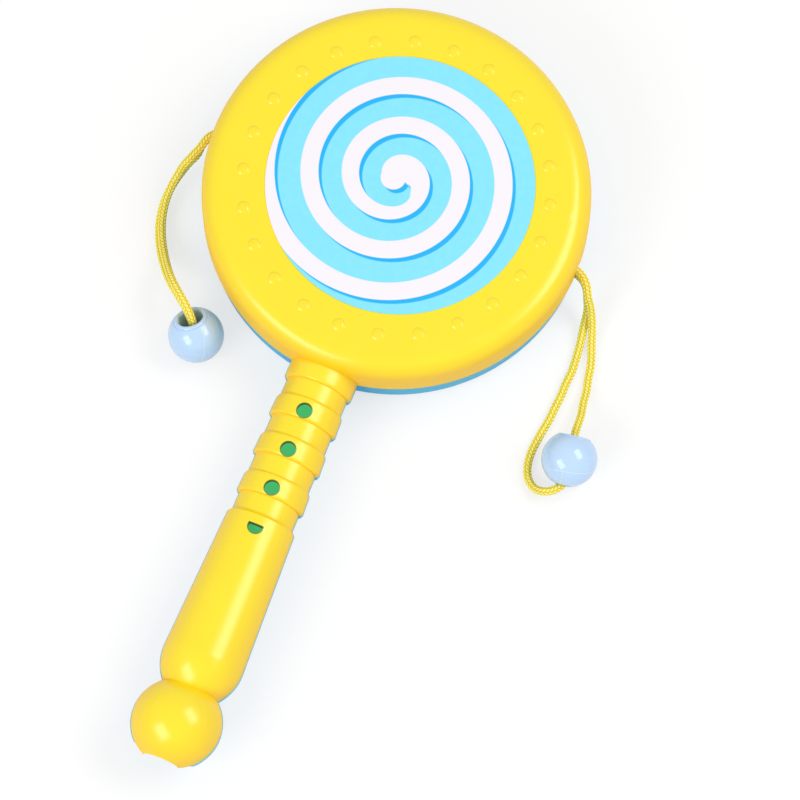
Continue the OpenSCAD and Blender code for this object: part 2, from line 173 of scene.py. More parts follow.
def smooth_line(points, closed=False):
    """A cubic spline through the points over their chord lengths: the second slopes m solve
    h0 m0 + 2 (h0 + h1) m1 + h1 m2 = 6 (slope after - slope before), with none at free ends. A closed line borrows
    some points from its other end. Returns points at equal parts of each span."""
    p = np.vstack([points[-1 - BORROWED:-1], points, points[1:1 + BORROWED]]) if closed else points
    h = np.linalg.norm(np.diff(p, axis=0), axis=1)
    slope = np.diff(p, axis=0) / h[:, None]
    count = len(p)
    inner = np.arange(1, count - 1)
    system = np.eye(count)
    system[inner, inner - 1] = h[:-1]
    system[inner, inner] = 2 * (h[:-1] + h[1:])
    system[inner, inner + 1] = h[1:]
    known = np.zeros((count, 3))
    known[1:-1] = 6 * np.diff(slope, axis=0)
    m = np.linalg.solve(system, known)
    first, last = (BORROWED, count - 1 - BORROWED) if closed else (0, count - 1)
    span = np.repeat(np.arange(first, last), SPAN_POINTS)
    t = (np.tile(np.arange(SPAN_POINTS) / SPAN_POINTS, last - first) * h[span])[:, None]
    w = h[span][:, None] - t
    wide = h[span][:, None]
    line = (
        m[span] * w ** 3 / (6 * wide) + m[span + 1] * t ** 3 / (6 * wide)
        + (p[span] / wide - m[span] * wide / 6) * w + (p[span + 1] / wide - m[span + 1] * wide / 6) * t
    )
    return np.vstack([line, p[last:last + 1]])


def evenly(line, count):
    """count points on a line, equal lengths apart, and the line's length."""
    run = np.concatenate([[0], np.cumsum(np.linalg.norm(np.diff(line, axis=0), axis=1))])
    at = np.linspace(0, run[-1], count)
    return np.column_stack([np.interp(at, run, line[:, axis]) for axis in range(3)]), run[-1]


def stitch_height(around, along):
    """Height on the braid from 0 in a gap to 1 on a crown. around counts columns and along counts stitches: x runs
    from -1/2 to 1/2 across a column, y from -1/2 to 1/2 along a stitch after a shift of the lean times x, left and
    right in turn and half a stitch later in every other column. The height is the fourth root of cos(pi x) times the
    root of cos(pi y)."""
    column = np.floor(around)
    x = around - column - 0.5
    odd = column % 2
    y = along + STITCH_LEAN * (1 - 2 * odd) * x + odd / 2
    y = y - np.round(y)
    return np.sqrt(np.sqrt(np.clip(np.cos(np.pi * x), 0, 1)) * np.clip(np.cos(np.pi * y), 0, 1))


def braided_tube(name, line, closed=False):
    """A braided cord along a line in millimetres: rings square to the line, whose radius is the cord's own, less the
    relief in the gaps between stitches. Open ends close on a rounded tip, and a closed line joins its own start.
    The weave map counts columns and stitches, and crown holds the stitch height."""
    stitches = max(8, round(evenly(line, 2)[1] / STITCH_LENGTH))
    rows = stitches * ALONG + 1
    centre, length = evenly(line, rows)
    heading = np.gradient(centre, axis=0)
    if closed:
        heading[0] = heading[-1] = centre[1] - centre[-2]
    heading = unit(heading)
    side = unit(np.cross(heading, [0, 0, 1.0]))
    over = np.cross(side, heading)
    around, along = np.meshgrid(np.arange(AROUND) / AROUND * BRAID_COLUMNS, np.arange(rows) / ALONG)
    crown = stitch_height(around, along)
    radius = CORD_DIAMETER / 2 + STITCH_RELIEF * (crown - 0.75)
    if not closed:
        tip = np.minimum(np.arange(rows), np.arange(rows)[::-1]) * length / (rows - 1)
        radius = radius * np.sqrt(np.clip(1 - (1 - tip / TIP_LENGTH).clip(0, 1) ** 2, 0.02, 1))[:, None]
    angle = around * 2 * np.pi / BRAID_COLUMNS
    ring = np.cos(angle)[..., None] * side[:, None] + np.sin(angle)[..., None] * over[:, None]
    points = centre[:, None] + radius[..., None] * ring
    if closed:
        points, crown = points[:-1], crown[:-1]
    used = len(points)
    i, j = np.meshgrid(np.arange(rows - 1), np.arange(AROUND), indexing="ij")
    next_i, next_j = (i + 1) % used, (j + 1) % AROUND
    quads = np.stack([
        i * AROUND + j, next_i * AROUND + j, next_i * AROUND + next_j, i * AROUND + next_j
    ], axis=-1).reshape(-1, 4)
    step_u, step_v = BRAID_COLUMNS / AROUND, 1 / ALONG
    weave = np.stack([
        np.stack([j * step_u, i * step_v], -1), np.stack([j * step_u, (i + 1) * step_v], -1),
        np.stack([(j + 1) * step_u, (i + 1) * step_v], -1), np.stack([(j + 1) * step_u, i * step_v], -1),
    ], axis=2).reshape(-1, 2)
    faces = quads.tolist()
    if not closed:
        first = np.arange(AROUND)
        faces += [first.tolist(), (first[::-1] + (used - 1) * AROUND).tolist()]
        ends = np.column_stack([first * step_u, np.zeros(AROUND)])
        weave = np.vstack([weave, ends, ends])
    mesh = bpy.data.meshes.new(name)
    mesh.from_pydata((points.reshape(-1, 3) * MM).tolist(), [], faces)
    mesh.uv_layers.new(name="weave").data.foreach_set("uv", weave.astype(np.float32).ravel())
    mesh.attributes.new("crown", "FLOAT", "POINT").data.foreach_set("value", crown.astype(np.float32).ravel())
    mesh.polygons.foreach_set("use_smooth", np.ones(len(faces), bool))
    mesh.update()
    piece = bpy.data.objects.new(name, mesh)
    bpy.context.collection.objects.link(piece)
    return piece, centre * MM, length * MM


def overhand_knot(name, centre, axis, spread, depth):
    """A pulled overhand knot: the closed line x = sin t + 2 sin 2t, y = cos t - 2 cos 2t, z = -sin 3t, with x and y
    in steps of spread and z in steps of depth, its z turned on to the axis, braided like the cord."""
    t = np.linspace(0, 2 * np.pi, KNOT_POINTS)
    loop = np.column_stack([
        spread * (np.sin(t) + 2 * np.sin(2 * t)), spread * (np.cos(t) - 2 * np.cos(2 * t)), -depth * np.sin(3 * t)
    ])
    piece = braided_tube(name, loop, closed=True)[0]
    up = unit(np.array(axis, float))
    side = unit(np.cross(up, [0.0, 0.0, 1.0]))
    piece.data.transform(placed(side, np.cross(up, side), up, np.array(centre) * MM))
    return piece


left_upper_line = smooth_line(np.vstack([LEFT_UPPER_START, strand(LEFT_ROUTE, 1)[len(LEFT_UPPER_START) - IN_HOLE:]]))
left_lower_line = smooth_line(np.vstack([LEFT_LOWER_START, strand(LEFT_ROUTE, -1)[len(LEFT_LOWER_START) - IN_HOLE:]]))
right_line = smooth_line(np.vstack([
    RIGHT_FIRST_START, RIGHT_ROUTE[len(RIGHT_FIRST_START) - IN_HOLE:IN_HOLE - len(RIGHT_LAST_START)],
    RIGHT_LAST_START[::-1],
]))

left_rim_knot = overhand_knot("left_rim_knot_braid", [-RIM_KNOT_AT, 0, EYELET_HEIGHT], [-1, 0, 0], *RIM_KNOT_STEPS)
right_rim_knot = overhand_knot("right_rim_knot_braid", [RIM_KNOT_AT, 0, EYELET_HEIGHT], [1, 0, 0], *RIM_KNOT_STEPS)
left_end_knot = overhand_knot("left_end_knot_braid", END_KNOT_AT, END_KNOT_AXIS, *END_KNOT_STEPS)
left_upper, left_upper_path, left_upper_length = braided_tube("left_cord_upper_braid", left_upper_line)
left_lower, left_lower_path, left_lower_length = braided_tube("left_cord_lower_braid", left_lower_line)
right_loop, right_path, right_length = braided_tube("right_cord_braid", right_line)

for knot, node_name, body in (
    (left_rim_knot, "left_rim_knot", "left_knot"),
    (right_rim_knot, "right_rim_knot", "right_knot"),
    (left_end_knot, "left_end_knot", "left_cord"),
):
    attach(knot, body)
    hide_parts(node_name)

for strand_piece, node_name, path, length in (
    (left_upper, "left_cord_upper", left_upper_path, left_upper_length),
    (left_lower, "left_cord_lower", left_lower_path, left_lower_length),
):
    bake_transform(strand_piece)
    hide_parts(node_name)
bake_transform(right_loop)
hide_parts("right_cord")


# Finishes
TO_MM = (1000.0, 1000.0, 1000.0)


def linear(hex_colour):
    """An sRGB hex colour as linear numbers: c / 12.92 up to 0.04045, else ((c + 0.055) / 1.055) to the power 2.4."""
    c = np.array([int(hex_colour[k:k + 2], 16) for k in (1, 3, 5)]) / 255
    return (*np.where(c <= 0.04045, c / 12.92, ((c + 0.055) / 1.055) ** 2.4).tolist(), 1.0)


def add(tree, kind, inputs=None, **settings):
    """Adds a node: settings are its own properties, and inputs gives each input, by name or number, a value or
    another node's output to link."""
    node = tree.nodes.new(kind)
    for key, value in settings.items():
        setattr(node, key, value)
    for key, value in (inputs or {}).items():
        if isinstance(value, bpy.types.NodeSocket):
            tree.links.new(value, node.inputs[key])
        else:
            node.inputs[key].default_value = value
    return node


def new_finish(name):
    """An empty material and its node tree."""
    material = bpy.data.materials.new(name)
    material.use_nodes = True
    material.node_tree.nodes.clear()
    return material, material.node_tree


def moulded_surface(tree, peel_mm, peel_height):
    """What an injection mould leaves on plastic: a faint orange peel of the given size as bump, and a cloudy value
    from 0 to 1, over some 9 mm, for slow changes of colour and gloss. Returns object coordinates, cloud and bump
    normal."""
    place = add(tree, "ShaderNodeTexCoord").outputs["Object"]
    peel = add(tree, "ShaderNodeTexNoise", {"Vector": place, "Scale": 1 / (peel_mm * MM), "Detail": 2.0})
    cloud = add(tree, "ShaderNodeTexNoise", {"Vector": place, "Scale": 1 / (9 * MM), "Detail": 3.0})
    bump = add(tree, "ShaderNodeBump", {
        "Height": peel.outputs["Fac"], "Strength": 1.0, "Distance": peel_height * MM})
    return place, cloud.outputs["Fac"], bump.outputs["Normal"]


# The air way seen through the finger holes, in millimetres, where green colour and glow are painted: how far from the
# handle's axis the painted green shows, fully and not at all, the axis's height, and the middle and half length of
# the stretch of y that it takes up.
AIRWAY_FULL, AIRWAY_NONE, AIRWAY_AXIS_HEIGHT = 5.0, 5.7, 9.5
AIRWAY_MIDDLE, AIRWAY_HALF = -58.0, 19.4

# The finger holes, in millimetres: the first one's y, the step to the next, how many, their radius, where the last
# one is closed past its middle, the width of the line of shade round them, and the height above which it is seen.
HOLE_FIRST, HOLE_STEP, HOLE_COUNT, HOLE_RADIUS, HOLE_CLOSED = -46.9, -8.15, 4, 1.45, 0.4
HOLE_LINE, HOLE_LINE_ABOVE = 0.2, 14.0


def airway_painted_glow_share(tree, axes):
    """The share of painted green colour and glow, 1 on the walls of the air way and 0 on the outside: one minus the
    smooth step of the distance from the axis, the root of x squared plus (z - axis height) squared, where y lies
    within the air way's stretch."""
    level = add(tree, "ShaderNodeMath", {
        0: axes.outputs["Z"], 1: AIRWAY_AXIS_HEIGHT}, operation="SUBTRACT").outputs[0]
    flat = add(tree, "ShaderNodeCombineXYZ", {"X": axes.outputs["X"], "Y": level}).outputs[0]
    off_axis = add(tree, "ShaderNodeVectorMath", {0: flat}, operation="LENGTH").outputs["Value"]
    inside = add(tree, "ShaderNodeMapRange", {
        "Value": off_axis, "From Min": AIRWAY_FULL, "From Max": AIRWAY_NONE, "To Min": 1.0, "To Max": 0.0},
        interpolation_type="SMOOTHSTEP").outputs["Result"]
    within = add(tree, "ShaderNodeMath", {
        0: axes.outputs["Y"], 1: AIRWAY_MIDDLE, 2: AIRWAY_HALF}, operation="COMPARE").outputs[0]
    return add(tree, "ShaderNodeMath", {0: inside, 1: within}, operation="MULTIPLY").outputs[0]


def hole_line(tree, axes):
    """1 at the edge of a finger hole and 0 past the line round it. The nearest hole is the whole number nearest to
    (y - first) / step, no less than 0 and no more than the last, and the way from its middle is the root of x squared
    plus (y - its y) squared, less the radius. The last hole ends at its flat side, where the way from that counts."""
    number = add(tree, "ShaderNodeMapRange", {
        "Value": axes.outputs["Y"], "From Min": HOLE_FIRST, "From Max": HOLE_FIRST + HOLE_STEP * (HOLE_COUNT - 1),
        "To Min": 0.0, "To Max": HOLE_COUNT - 1.0}).outputs["Result"]
    number = add(tree, "ShaderNodeMath", {0: number}, operation="ROUND").outputs[0]
    middle = add(tree, "ShaderNodeMath", {
        0: number, 1: HOLE_STEP, 2: HOLE_FIRST}, operation="MULTIPLY_ADD").outputs[0]
    beside = add(tree, "ShaderNodeMath", {0: axes.outputs["Y"], 1: middle}, operation="SUBTRACT").outputs[0]
    flat = add(tree, "ShaderNodeCombineXYZ", {"X": axes.outputs["X"], "Y": beside}).outputs[0]
    from_middle = add(tree, "ShaderNodeVectorMath", {0: flat}, operation="LENGTH").outputs["Value"]
    past_edge = add(tree, "ShaderNodeMath", {0: from_middle, 1: HOLE_RADIUS}, operation="SUBTRACT").outputs[0]
    last = add(tree, "ShaderNodeMath", {0: number, 1: HOLE_COUNT - 1.5}, operation="GREATER_THAN").outputs[0]
    past_flat = add(tree, "ShaderNodeMath", {0: beside, 1: HOLE_CLOSED}, operation="SUBTRACT").outputs[0]
    past_flat = add(tree, "ShaderNodeMix", {"Factor": last, "A": -1.0, "B": past_flat}).outputs["Result"]
    past = add(tree, "ShaderNodeMath", {0: past_edge, 1: past_flat}, operation="MAXIMUM").outputs[0]
    line = add(tree, "ShaderNodeMapRange", {
        "Value": past, "From Min": 0.4 * HOLE_LINE, "From Max": HOLE_LINE, "To Min": 1.0, "To Max": 0.0},
        interpolation_type="SMOOTHSTEP").outputs["Result"]
    above = add(tree, "ShaderNodeMath", {
        0: axes.outputs["Z"], 1: HOLE_LINE_ABOVE}, operation="GREATER_THAN").outputs[0]
    return add(tree, "ShaderNodeMath", {0: line, 1: above}, operation="MULTIPLY").outputs[0]


# The face's bumps: how many, their distance from the middle, and the ring that each is crowned with, in millimetres.
BUMP_COUNT, BUMP_REACH = 24, 29.6
CROWN_RADIUS, CROWN_HALF_WIDTH, CROWN_HEIGHT = 0.85, 0.45, 0.055


def crowned_bumps(tree, axes, normal):
    """The normal with a low ring on each bump, which leaves its top a little hollow. Angle over the bumps' spacing,
    less its nearest whole number, gives the angle off the nearest bump; with r the distance from the middle, the way
    from that bump is the root of (r cos - reach) squared plus (r sin) squared, and the ring stands where that way is
    within the half width of the crown's radius."""
    flat = add(tree, "ShaderNodeCombineXYZ", {"X": axes.outputs["X"], "Y": axes.outputs["Y"]}).outputs[0]
    r = add(tree, "ShaderNodeVectorMath", {0: flat}, operation="LENGTH").outputs["Value"]
    angle = add(tree, "ShaderNodeMath", {0: axes.outputs["Y"], 1: axes.outputs["X"]}, operation="ARCTAN2").outputs[0]
    count = add(tree, "ShaderNodeMath", {0: angle, 1: BUMP_COUNT / (2 * math.pi)}, operation="MULTIPLY").outputs[0]
    nearest = add(tree, "ShaderNodeMath", {0: count}, operation="ROUND").outputs[0]
    off = add(tree, "ShaderNodeMath", {0: count, 1: nearest}, operation="SUBTRACT").outputs[0]
    off = add(tree, "ShaderNodeMath", {0: off, 1: 2 * math.pi / BUMP_COUNT}, operation="MULTIPLY").outputs[0]
    along = add(tree, "ShaderNodeMath", {
        0: r, 1: add(tree, "ShaderNodeMath", {0: off}, operation="COSINE").outputs[0], 2: -BUMP_REACH},
        operation="MULTIPLY_ADD").outputs[0]
    beside = add(tree, "ShaderNodeMath", {
        0: r, 1: add(tree, "ShaderNodeMath", {0: off}, operation="SINE").outputs[0]}, operation="MULTIPLY").outputs[0]
    from_bump = add(tree, "ShaderNodeCombineXYZ", {"X": along, "Y": beside}).outputs[0]
    way = add(tree, "ShaderNodeVectorMath", {0: from_bump}, operation="LENGTH").outputs["Value"]
    gap = add(tree, "ShaderNodeMath", {0: way, 1: CROWN_RADIUS}, operation="SUBTRACT").outputs[0]
    gap = add(tree, "ShaderNodeMath", {0: gap}, operation="ABSOLUTE").outputs[0]
    ring = add(tree, "ShaderNodeMapRange", {
        "Value": gap, "From Min": 0.0, "From Max": CROWN_HALF_WIDTH, "To Min": 1.0, "To Max": 0.0},
        interpolation_type="SMOOTHSTEP").outputs["Result"]
    return add(tree, "ShaderNodeBump", {
        "Height": ring, "Strength": 1.0, "Distance": CROWN_HEIGHT * MM, "Normal": normal}).outputs["Normal"]


# Steep sides, whose colour is deepened as painted shade: the upright share of the normal at which they count fully
# and not at all, and how much rougher they are.
STEEP_FULL, STEEP_NONE, SATIN_ROUGHER = 0.1, 0.9, 0.3


def moulded_abs(name, first_hex, second_hex, steep_painted_shade_hex, rough, bumps=False):
    """ABS, injection moulded and polished in the mould: bright, opaque and glossy, with soft-edged highlights and a
    faint orange peel. On steep sides the colour is deepened as painted shade, and the gloss is satin, as the mould
    draws along them. On the walls of the air way a green colour and glow are painted, standing for daylight let
    through the thin walls."""
    material, tree = new_finish(name)
    place, cloud, normal = moulded_surface(tree, 0.7, 0.004)
    level = add(tree, "ShaderNodeMix", {
        "Factor": cloud, 6: linear(first_hex), 7: linear(second_hex)}, data_type="RGBA").outputs[2]
    facing = add(tree, "ShaderNodeSeparateXYZ", {"Vector": add(tree, "ShaderNodeTexCoord").outputs["Normal"]})
    upright = add(tree, "ShaderNodeMath", {0: facing.outputs["Z"]}, operation="ABSOLUTE").outputs[0]
    steep = add(tree, "ShaderNodeMapRange", {
        "Value": upright, "From Min": STEEP_FULL, "From Max": STEEP_NONE,
        "To Min": 1.0, "To Max": 0.0}).outputs["Result"]
    # Painted shade: steep sides take the deeper steep colour.
    outside = add(tree, "ShaderNodeMix", {
        "Factor": steep, 6: level, 7: linear(steep_painted_shade_hex)}, data_type="RGBA").outputs[2]
    in_mm = add(tree, "ShaderNodeVectorMath", {0: place, 1: TO_MM}, operation="MULTIPLY").outputs[0]
    axes = add(tree, "ShaderNodeSeparateXYZ", {"Vector": in_mm})
    if bumps:
        normal = crowned_bumps(tree, axes, normal)
    lined = add(tree, "ShaderNodeMix", {
        "Factor": hole_line(tree, axes), 6: outside, 7: linear("#5E6E2E")}, data_type="RGBA").outputs[2]
    # Painted glow: green colour and emission on the air way's walls stand for daylight through the thin walls.
    share = airway_painted_glow_share(tree, axes)
    colour = add(tree, "ShaderNodeMix", {"Factor": share, 6: lined, 7: linear("#2F7A4C")}, data_type="RGBA")
    glow = add(tree, "ShaderNodeMix", {
        "Factor": share, 6: (0.0, 0.0, 0.0, 1.0), 7: linear("#46A465")}, data_type="RGBA")
    gloss = add(tree, "ShaderNodeMapRange", {"Value": cloud, "To Min": rough - 0.03, "To Max": rough + 0.03})
    satin = add(tree, "ShaderNodeMath", {
        0: steep, 1: SATIN_ROUGHER, 2: gloss.outputs["Result"]}, operation="MULTIPLY_ADD")
    shader = add(tree, "ShaderNodeBsdfPrincipled", {
        "Base Color": colour.outputs[2], "Roughness": satin.outputs[0], "IOR": 1.54, "Normal": normal,
        "Emission Color": glow.outputs[2], "Emission Strength": 1.0})
    add(tree, "ShaderNodeOutputMaterial", {"Surface": shader.outputs["BSDF"]})
    return material


# The beads' mould lines, in millimetres: each bead's middle, then for each line the square to its plane, how far the
# plane lies from the middle, and where the line stops, as a distance along the other line's square.
LEFT_BEAD_AT, RIGHT_BEAD_AT = (-26.3, -38.1, 5.4), (49.5, -34.2, 5.4)
LEFT_BEAD_LINES = [((0.794, 0.541, -0.275), 0.0, None)]
RIGHT_GIRTH = ((-0.202, 0.869, 0.452), -1.53)
RIGHT_BEAD_LINES = [(*RIGHT_GIRTH, None), ((0.996, 0.057, 0.069), 0.0, RIGHT_GIRTH)]
MOULD_LINE_HALF_WIDTH = 0.09


def mould_line(tree, from_middle, square, offset, limit):
    """1 on a mould line and 0 off it: the distance from the line's plane, the dot product with its square less the
    offset, falls to nothing over the half width. A limit keeps the line to the far side of another plane."""
    along = add(tree, "ShaderNodeVectorMath", {0: from_middle, 1: square}, operation="DOT_PRODUCT").outputs["Value"]
    gap = add(tree, "ShaderNodeMath", {0: along, 1: offset}, operation="SUBTRACT").outputs[0]
    gap = add(tree, "ShaderNodeMath", {0: gap}, operation="ABSOLUTE").outputs[0]
    line = add(tree, "ShaderNodeMapRange", {
        "Value": gap, "From Min": 0.0, "From Max": MOULD_LINE_HALF_WIDTH, "To Min": 1.0, "To Max": 0.0},
        interpolation_type="SMOOTHSTEP").outputs["Result"]
    if limit is None:
        return line
    past = add(tree, "ShaderNodeVectorMath", {0: from_middle, 1: limit[0]}, operation="DOT_PRODUCT").outputs["Value"]
    below = add(tree, "ShaderNodeMath", {0: past, 1: limit[1]}, operation="LESS_THAN").outputs[0]
    return add(tree, "ShaderNodeMath", {0: line, 1: below}, operation="MULTIPLY").outputs[0]


def bead_polystyrene(name, middle, lines):
    """Polystyrene, moulded: pale blue and very glossy, with fine ridges where the mould's halves met, raised a little
    and drawn paler than the bead.
    """
    material, tree = new_finish(name)
    place, cloud, normal = moulded_surface(tree, 0.9, 0.003)
    in_mm = add(tree, "ShaderNodeVectorMath", {0: place, 1: TO_MM}, operation="MULTIPLY").outputs[0]
    from_middle = add(tree, "ShaderNodeVectorMath", {0: in_mm, 1: middle}, operation="SUBTRACT").outputs[0]
    ridge = mould_line(tree, from_middle, *lines[0])
    for line in lines[1:]:
        ridge = add(tree, "ShaderNodeMath", {
            0: ridge, 1: mould_line(tree, from_middle, *line)}, operation="MAXIMUM").outputs[0]
    body = add(tree, "ShaderNodeMix", {
        "Factor": cloud, 6: linear("#BBDAFE"), 7: linear("#C5E2FF")}, data_type="RGBA").outputs[2]
    colour = add(tree, "ShaderNodeMix", {"Factor": ridge, 6: body, 7: linear("#EAF4FF")}, data_type="RGBA")
    raised = add(tree, "ShaderNodeBump", {
        "Height": ridge, "Strength": 1.0, "Distance": 0.03 * MM, "Normal": normal}).outputs["Normal"]
    gloss = add(tree, "ShaderNodeMapRange", {"Value": cloud, "To Min": 0.14, "To Max": 0.18})
    shader = add(tree, "ShaderNodeBsdfPrincipled", {
        "Base Color": colour.outputs[2], "Roughness": gloss.outputs["Result"], "IOR": 1.59, "Normal": raised})
    add(tree, "ShaderNodeOutputMaterial", {"Surface": shader.outputs["BSDF"]})
    return material


# Filaments drawn along each stitch.
FILAMENTS = 5


def braided_polyester():
    """Polyester yarn, braided: matt yellow with a soft sheen, painted shade as a deeper colour in the gaps between
    stitches, painted light as a paler colour on their crowns, and fine filaments along each stitch. Real filaments
    are some 0.02 mm; they are drawn five to a stitch, some 0.12 mm, to show."""
    material, tree = new_finish("yellow_braided_polyester")
    weave = add(tree, "ShaderNodeSeparateXYZ", {"Vector": add(tree, "ShaderNodeUVMap", uv_map="weave").outputs["UV"]})
    crown = add(tree, "ShaderNodeAttribute", attribute_name="crown").outputs["Fac"]
    column = add(tree, "ShaderNodeMath", {0: weave.outputs["X"]}, operation="FLOOR").outputs[0]
    across = add(tree, "ShaderNodeMath", {0: weave.outputs["X"], 1: column}, operation="SUBTRACT").outputs[0]
    odd = add(tree, "ShaderNodeMath", {0: column, 1: 2.0}, operation="FLOORED_MODULO").outputs[0]
    lean = add(tree, "ShaderNodeMath", {
        0: odd, 1: -2 * STITCH_LEAN, 2: STITCH_LEAN}, operation="MULTIPLY_ADD").outputs[0]
    run = add(tree, "ShaderNodeMath", {
        0: lean, 1: across, 2: weave.outputs["Y"]}, operation="MULTIPLY_ADD").outputs[0]
    filament = add(tree, "ShaderNodeMath", {
        0: add(tree, "ShaderNodeMath", {0: run, 1: FILAMENTS * 2 * math.pi}, operation="MULTIPLY").outputs[0]},
        operation="SINE").outputs[0]
    # Painted shade and light: the colour runs from deep gold in the gaps to pale yellow on the crowns, by stitch
    # height.
    colour = add(tree, "ShaderNodeValToRGB", {"Fac": crown})
    ramp = colour.color_ramp
    ramp.elements[0].position, ramp.elements[0].color = 0.25, linear("#F8C400")
    ramp.elements[1].position, ramp.elements[1].color = 0.9, linear("#FFFF9C")
    middle = ramp.elements.new(0.6)
    middle.color = linear("#FFF04A")
    bump = add(tree, "ShaderNodeBump", {"Height": filament, "Strength": 0.5, "Distance": 0.02 * MM})
    shader = add(tree, "ShaderNodeBsdfPrincipled", {
        "Base Color": colour.outputs["Color"], "Roughness": 0.6, "IOR": 1.54, "Specular IOR Level": 0.12,
        "Sheen Weight": 0.04, "Sheen Roughness": 0.4, "Normal": bump.outputs["Normal"]})
    add(tree, "ShaderNodeOutputMaterial", {"Surface": shader.outputs["BSDF"]})
    return material


# The label's print, in millimetres: a white band wound round this centre on a light-blue ground, whose middle lies
# 5.23 + 7.44 t + 0.26 t squared from it after t turns, with a blue shadow to one side. The eye is a disc at its inner
# end. The band's half widths, inwards and outwards of its middle, are given at distances from the centre, and it
# starts at one of them.
SPIRAL_CENTRE = (-0.85, 1.6)
SPIRAL_START, SPIRAL_PITCH, SPIRAL_GROWTH = 5.23, 7.44, 0.26
SPIRAL_EYE, SPIRAL_EYE_RADIUS = (-1.25, 1.45), 2.45
BAND_INSIDE = [(1.8, 3.6), (2, 3.3), (2.5, 2.9), (3, 2.4), (3.6, 1.9), (4.2, 1.55), (5, 1.0), (5.7, 0.8), (6.2, 1.15),
               (7, 1.6), (9, 1.74), (10, 1.74)]
BAND_STARTS = 1.8
BAND_OUTSIDE = [(0, 1.35), (3.5, 1.35), (5, 1.55), (9, 1.74), (10, 1.74)]
SHADOW_SHIFT = (0.85, -0.48)


def spiral_print(tree, place):
    """How far a point lies inside the white print, in millimetres, negative outside. With r and angle about the
    centre, turns t = (sqrt(pitch squared + 4 growth (r - start)) - pitch) / (2 growth) and phase = t + angle / 2 pi;
    the phase less its nearest whole number, times the band spacing pitch + 2 growth t, is the way off the band's
    middle. The print is what lies between the band's inner and outer edge, and in the eye."""
    centred = add(tree, "ShaderNodeVectorMath", {0: place, 1: (*SPIRAL_CENTRE, 0.0)}, operation="SUBTRACT").outputs[0]
    axes = add(tree, "ShaderNodeSeparateXYZ", {"Vector": centred})
    r = add(tree, "ShaderNodeVectorMath", {0: centred}, operation="LENGTH").outputs["Value"]
    angle = add(tree, "ShaderNodeMath", {0: axes.outputs["Y"], 1: axes.outputs["X"]}, operation="ARCTAN2").outputs[0]
    inside_root = add(tree, "ShaderNodeMath", {
        0: r, 1: 4 * SPIRAL_GROWTH, 2: SPIRAL_PITCH ** 2 - 4 * SPIRAL_GROWTH * SPIRAL_START},
        operation="MULTIPLY_ADD").outputs[0]
    root = add(tree, "ShaderNodeMath", {0: inside_root}, operation="SQRT").outputs[0]
    turns = add(tree, "ShaderNodeMath", {
        0: root, 1: 0.5 / SPIRAL_GROWTH, 2: -0.5 * SPIRAL_PITCH / SPIRAL_GROWTH}, operation="MULTIPLY_ADD").outputs[0]
    phase = add(tree, "ShaderNodeMath", {0: angle, 1: 0.5 / math.pi, 2: turns}, operation="MULTIPLY_ADD").outputs[0]
    whole = add(tree, "ShaderNodeMath", {0: phase}, operation="ROUND").outputs[0]
    part = add(tree, "ShaderNodeMath", {0: phase, 1: whole}, operation="SUBTRACT").outputs[0]
    spacing = add(tree, "ShaderNodeMath", {
        0: turns, 1: 2 * SPIRAL_GROWTH, 2: SPIRAL_PITCH}, operation="MULTIPLY_ADD").outputs[0]
    off = add(tree, "ShaderNodeMath", {0: part, 1: spacing}, operation="MULTIPLY").outputs[0]
    tenth = add(tree, "ShaderNodeMath", {0: r, 1: 0.1}, operation="MULTIPLY").outputs[0]
    widths = []
    for corners in (BAND_INSIDE, BAND_OUTSIDE):
        curve = add(tree, "ShaderNodeFloatCurve", {"Value": tenth})
        line = curve.mapping.curves[0]
        for reach, width in corners[1:-1]:
            line.points.new(reach / 10, width / 10)
        line.points[0].location = (corners[0][0] / 10, corners[0][1] / 10)
        line.points[-1].location = (corners[-1][0] / 10, corners[-1][1] / 10)
        curve.mapping.extend = "HORIZONTAL"
        curve.mapping.update()
        widths.append(curve.outputs["Value"])
    past_inside = add(tree, "ShaderNodeMath", {0: widths[0], 1: 10.0, 2: off}, operation="MULTIPLY_ADD").outputs[0]
    minus_off = add(tree, "ShaderNodeMath", {0: off, 1: -1.0}, operation="MULTIPLY").outputs[0]
    short_outside = add(tree, "ShaderNodeMath", {
        0: widths[1], 1: 10.0, 2: minus_off}, operation="MULTIPLY_ADD").outputs[0]
    in_band = add(tree, "ShaderNodeMath", {0: past_inside, 1: short_outside}, operation="MINIMUM").outputs[0]
    clear_of_eye = add(tree, "ShaderNodeMath", {0: r, 1: BAND_STARTS}, operation="SUBTRACT").outputs[0]
    band = add(tree, "ShaderNodeMath", {0: in_band, 1: clear_of_eye}, operation="MINIMUM").outputs[0]
    to_eye = add(tree, "ShaderNodeVectorMath", {
        0: place, 1: (*SPIRAL_EYE, 0.0)}, operation="DISTANCE").outputs["Value"]
    eye = add(tree, "ShaderNodeMath", {0: SPIRAL_EYE_RADIUS, 1: to_eye}, operation="SUBTRACT").outputs[0]
    return add(tree, "ShaderNodeMath", {0: band, 1: eye}, operation="MAXIMUM").outputs[0]


